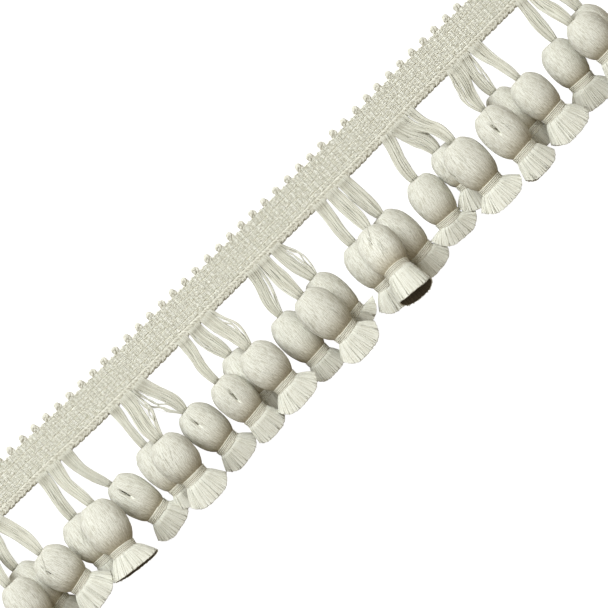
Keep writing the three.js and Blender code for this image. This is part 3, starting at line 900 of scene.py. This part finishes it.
def bulb_hairs(tassel):
    """Single threads that lie loose on the bulb, a little across the others."""
    share = np.linspace(0, 1, BULB_HAIR_STEPS)
    start = chance.uniform(*BULB_HAIR_STARTS, (BULB_HAIRS, 1))
    length = chance.uniform(*BULB_HAIR_LENGTHS, (BULB_HAIRS, 1))
    along = (start + length * share) * tassel["bulb"] / OUTLINE_LENGTH
    around = chance.uniform(0, 2 * np.pi, (BULB_HAIRS, 1))
    angle = around + chance.normal(0, BULB_HAIR_SLANT, (BULB_HAIRS, 1)) * share
    out = np.interp(along, *bulb_outline(tassel, BULB_OUTLINE[2:], OUTLINE_STEPS)) * BULB_HAIR_OUT
    lines = np.stack([out * np.cos(angle), -along, DEPTH_SHARE * out * np.sin(angle)], -1)
    cells = strips(BULB_HAIRS, left=0.1, right=0.4, high=0.5)
    return threads(lines, BULB_HAIR, BULB_HAIR, HAIR_SIDES, cells)


def tie_thread(tassel):
    """The thread that ties the hank, where it shows on its way into the parting."""
    near, _, start, end, depth = PARTINGS[tassel["name"]]
    along = np.linspace(TIE_START, start + TIE_INTO_PARTING * (end - start), TIE_STEPS)
    half = np.interp(along, *bulb_outline(tassel, BULB_OUTLINE[2:], OUTLINE_STEPS))
    out = half + TIE_OUT - TIE_SINK * depth * np.clip((along - start) / (end - start), 0, 1)
    angle = np.arccos(np.linspace(-tassel["shift"], near, TIE_STEPS) / out)
    line = np.stack([out * np.cos(angle), -along, DEPTH_SHARE * out * np.sin(angle)], -1)
    cell = strips(1, left=0.02, right=0.04, high=0.5)
    return threads(line[None], TIE_THREAD, TIE_THREAD, TIE_SIDES, cell)


def skirt_shape(tassel, share, angle, inset):
    """Points of the skirt at shares of its length and angles round it, inset from its outer face."""
    name = tassel["name"]
    fan = SKIRT_SPREADS.get(name, tassel["fan"])
    half = SKIRT_ROOT_HALF + (fan / 2 - SKIRT_ROOT_HALF) * share**SKIRT_FLARE - inset
    deep = SKIRT_ROOT_HALF * DEPTH_SHARE
    fan_deep = np.where(np.sin(angle) > 0, tassel["fan_rise"], tassel["fan_depth"])
    deep = deep + (fan_deep - deep) * share - inset
    drawn_back = CUT_BOWS.get(name, CUT_BOW) * fan * np.cos(angle) ** 4
    slant = CUT_SLANTS.get(name, CUT_SLANT) * np.sin(angle)
    root = tassel["bulb"] + SKIRT_START
    fall = (tassel["length"] - root - drawn_back - slant) * share
    level = np.sign(np.sin(angle)) * np.abs(np.sin(angle)) ** (1 - (1 - SKIRT_SQUARING) * share)
    return np.stack([half * np.cos(angle), -root - fall, deep * level], -1)


def skirt(tassel):
    """The skirt's wall of cut floss, with a ridge for each thread, gathered into locks, and its hollow."""
    sides = 2 * SKIRT_RIDGES
    share = np.array(SKIRT_STATIONS, float)[:, None]
    outer = np.arange(len(share))[:, None] < SKIRT_OUTER
    around = np.linspace(0, 2 * np.pi, sides, endpoint=False)
    lock = SKIRT_LOCKS * around + chance.uniform(0, 6) + 0.8 * np.sin(3 * around)
    angle = around - SKIRT_LOCK_DRAW / SKIRT_LOCKS * np.sin(lock) * share
    crest = ups_and_downs(chance.uniform(*SKIRT_CRESTS, SKIRT_RIDGES))
    parted = np.repeat(chance.uniform(0, 1, SKIRT_RIDGES) < SKIRT_PARTED, 2) & (crest < 0)
    ridge = SKIRT_RIDGE_HEIGHT * np.where(parted, SKIRT_PARTED_DEPTH, 1) * crest
    ridge = ridge + SKIRT_LOCK_HEIGHT * np.cos(lock) * share
    inset = np.where(outer, -ridge, SKIRT_WALL)
    ragged = np.repeat(SKIRT_RAGGED * chance.uniform(0, 1, SKIRT_RIDGES) ** 2, 2)
    cut = 1 - ragged / (tassel["length"] - tassel["bulb"]) * np.where(outer, share, 0)
    points = skirt_shape(tassel, share * cut, angle, inset)
    faces = ring_faces(1, len(share), sides)
    ends = end_faces(1, len(share), sides)
    # The hollow's inner wall and inner end take painted shade, a near-black floss.
    split = [faces[: SKIRT_OUTER * sides], faces[SKIRT_OUTER * sides :], ends[:1], ends[1:]]
    places = wrapped_places(split, (len(share), sides), 0.5, 0.0, 0.6)
    return points.reshape(-1, 3), split, places, [1, 2, 1, 2]


def skirt_hairs(tassel):
    """Single threads that lie loose on the skirt and end a little short of its edge or past it."""
    share = np.linspace(0, 1, SKIRT_HAIR_STEPS)
    around = np.sort(chance.uniform(0, 2 * np.pi, (SKIRT_HAIRS, 1)), axis=0)
    angle = around + chance.normal(0, SKIRT_HAIR_SLANT, (SKIRT_HAIRS, 1)) * share
    length = chance.uniform(*SKIRT_HAIR_LENGTHS, (SKIRT_HAIRS, 1))
    lines = skirt_shape(tassel, share * length, angle, -SKIRT_HAIR_OUT)
    cells = strips(SKIRT_HAIRS, left=0.5, low=0.7)
    return threads(lines, SKIRT_HAIR, SKIRT_HAIR, HAIR_SIDES, cells, finish=1)


def laid_down(tassel, part):
    """A part of a tassel in its place, pressed flat where it would sink into the surface."""
    points = turned(tassel, part[0]) + tassel["place"]
    points[:, 2] = np.maximum(points[:, 2], 0)
    return (points, *part[1:])


def paint_bulb_shade(material):
    """Paints shade into the floss along the thread map, dimming it at the tie and deeper at the binding."""
    tree = material.node_tree
    colour = tree.nodes["Principled BSDF"].inputs["Base Color"]
    place = tree.nodes.new("ShaderNodeUVMap")
    place.uv_map = THREAD_MAP
    along = tree.nodes.new("ShaderNodeSeparateXYZ")
    tree.links.new(place.outputs["UV"], along.inputs["Vector"])
    shade_tints = tree.nodes.new("ShaderNodeValToRGB")
    shade_tints.color_ramp.interpolation = "EASE"
    shade_tints.color_ramp.elements[0].position = TIE_SHADE_END
    shade_tints.color_ramp.elements[0].color = (*TIE_PAINTED_SHADE, 1)
    shade_tints.color_ramp.elements[1].position = NECK_SHADE_START
    shade_tints.color_ramp.elements[1].color = (*NECK_PAINTED_SHADE, 1)
    shade_tints.color_ramp.elements.new(UNSHADED_MIDDLE).color = (1, 1, 1, 1)
    tree.links.new(along.outputs["Y"], shade_tints.inputs["Fac"])
    shaded_colour = tree.nodes.new("ShaderNodeVectorMath")
    shaded_colour.operation = "MULTIPLY"
    tree.links.new(colour.links[0].from_socket, shaded_colour.inputs[0])
    tree.links.new(shade_tints.outputs["Color"], shaded_colour.inputs[1])
    tree.links.new(shaded_colour.outputs["Vector"], colour)


tassel_floss = yarn_material(
    "tassel_floss", FLOSS_PALE, FLOSS_DEEP, (340, 11), roughness=0.7, sheen=0.1, blend=0.072
)
# Painted shade: the bulbs' floss turns deeper along its length towards the tie and the binding.
paint_bulb_shade(tassel_floss)
skirt_floss = yarn_material(
    "skirt_floss", SKIRT_PALE, SKIRT_DEEP, (300, 6), roughness=0.7, sheen=0.1, blend=0.07
)
# Painted shade for the skirts' hollows and the floors of the partings.
hollow_painted_shade = yarn_material(
    "hollow_painted_shade", SHADE_PAINT_PALE, SHADE_PAINT_DEEP, (240, 3), roughness=0.9, sheen=0.0
)
for tassel in tassels:
    tassel_parts = [bulb(tassel), bulb_hairs(tassel), skirt(tassel), skirt_hairs(tassel)]
    if tassel["name"] in PARTINGS:
        tassel_parts.append(tie_thread(tassel))
    make_piece(
        "tassel_floss_" + tassel["name"],
        [laid_down(tassel, part) for part in tassel_parts],
        [tassel_floss, skirt_floss, hollow_painted_shade],
        "floss",
        "tassel_" + tassel["name"],
    )


# Neck bindings: a smooth silky thread, wound five times round each neck and drawn tight, so that it
# closes the bulb above it and lets the skirt spread below.
BINDING_TURNS = 5
BINDING_INSET = 0.35
BINDING_PITCH = 0.62
BINDING_HALF = 5.35
BINDING_THREAD = 0.3
BINDING_STEPS = 40
BINDING_SIDES = 5
BINDING_WAVER = 0.08
BINDING_TAPER = 0.04
BINDING_PALE = (0.80, 0.79, 0.70)
BINDING_DEEP = (0.60, 0.58, 0.485)


def binding_turns(tassel):
    turns = np.linspace(0, BINDING_TURNS, BINDING_TURNS * BINDING_STEPS)
    angle = 2 * np.pi * turns + chance.uniform(0, 6)
    half = BINDING_HALF + BINDING_WAVER * wander(1, len(turns), 5)[0] - BINDING_TAPER * turns
    along = tassel["bulb"] + BINDING_INSET + BINDING_PITCH * np.clip(turns - 0.5, 0, BINDING_TURNS - 1)
    line = np.stack([half * np.cos(angle), -along, DEPTH_SHARE * half * np.sin(angle)], -1)
    return threads(line[None], BINDING_THREAD, BINDING_THREAD, BINDING_SIDES, strips(1), up=(0, 1, 0))


binding_silk = yarn_material(
    "binding_silk", BINDING_PALE, BINDING_DEEP, (3, 18), roughness=0.35, sheen=0.1
)
for tassel in tassels:
    make_piece(
        "neck_binding_" + tassel["name"],
        [laid_down(tassel, binding_turns(tassel))],
        [binding_silk],
        "binding_thread",
        "binding_" + tassel["name"],
    )


# Surface, light and camera: a floor that glows plain white, with a pale table just under it that gives
# light back, a wide soft light from the heading's side and a weaker one overhead, and a camera that
# looks straight down with the trim running from corner to corner.
FLOOR_WHITE = (0.25, 0.25, 0.25)
FLOOR_GLOW = 1.0
GLOW_WHITE = (1, 1, 1)
TABLE_PALE = (0.6, 0.55, 0.47)
MATT = 0.9
SURFACE_SIZE = 6
SKY_COLOUR = (1, 0.88, 0.68)
SKY_STRENGTH = 0.25
bpy.ops.mesh.primitive_plane_add(size=SURFACE_SIZE, location=(0, 0, 0))
floor = bpy.context.object
floor.name = "floor"
floor_paint = bpy.data.materials.new("floor_paint")
floor_paint.use_nodes = True
floor_shader = floor_paint.node_tree.nodes["Principled BSDF"]
floor_shader.inputs["Base Color"].default_value = (*FLOOR_WHITE, 1)
floor_shader.inputs["Roughness"].default_value = MATT
floor_shader.inputs["Emission Color"].default_value = (*GLOW_WHITE, 1)
floor_shader.inputs["Emission Strength"].default_value = FLOOR_GLOW
floor.data.materials.append(floor_paint)
floor.visible_diffuse = False
floor.visible_glossy = False
floor.visible_shadow = False
bpy.ops.mesh.primitive_plane_add(size=SURFACE_SIZE, location=(0, 0, -MM))
table = bpy.context.object
table.name = "table"
table_paint = bpy.data.materials.new("table_paint")
table_paint.use_nodes = True
table_shader = table_paint.node_tree.nodes["Principled BSDF"]
table_shader.inputs["Base Color"].default_value = (*TABLE_PALE, 1)
table_shader.inputs["Roughness"].default_value = MATT
table.data.materials.append(table_paint)
table.visible_camera = False


def soft_light(name, place, size, power, colour):
    bpy.ops.object.light_add(type="AREA", location=place)
    light = bpy.context.object
    light.name = name
    light.data.shape = "DISK"
    light.data.size = size
    light.data.energy = power
    light.data.color = colour
    aim = bpy.data.objects["floor"].location - light.location
    light.rotation_euler = aim.to_track_quat("-Z", "Y").to_euler()


soft_light("window_light", place=(-0.35, 1.2, 1.25), size=1.3, power=37.5, colour=(0.97, 1, 1.01))
soft_light("top_light", place=(0.1, 0.0, 1.8), size=1.0, power=1.5, colour=(1, 0.85, 0.65))
sky = bpy.data.worlds.new("sky")
sky.use_nodes = True
sky.node_tree.nodes["Background"].inputs["Color"].default_value = (*SKY_COLOUR, 1)
sky.node_tree.nodes["Background"].inputs["Strength"].default_value = SKY_STRENGTH
bpy.context.scene.world = sky
bpy.context.scene.view_settings.view_transform = "Standard"

CAMERA_HEIGHT = 1165
CAMERA_ASIDE = -31.45
CAMERA_TURN = -44.8
CAMERA_LENS = 180
CAMERA_SENSOR = 36
bpy.ops.object.camera_add(
    location=(0, CAMERA_ASIDE * MM, CAMERA_HEIGHT * MM), rotation=(0, 0, math.radians(CAMERA_TURN))
)
camera = bpy.context.object
camera.data.lens = CAMERA_LENS
camera.data.sensor_width = CAMERA_SENSOR
bpy.context.scene.camera = camera
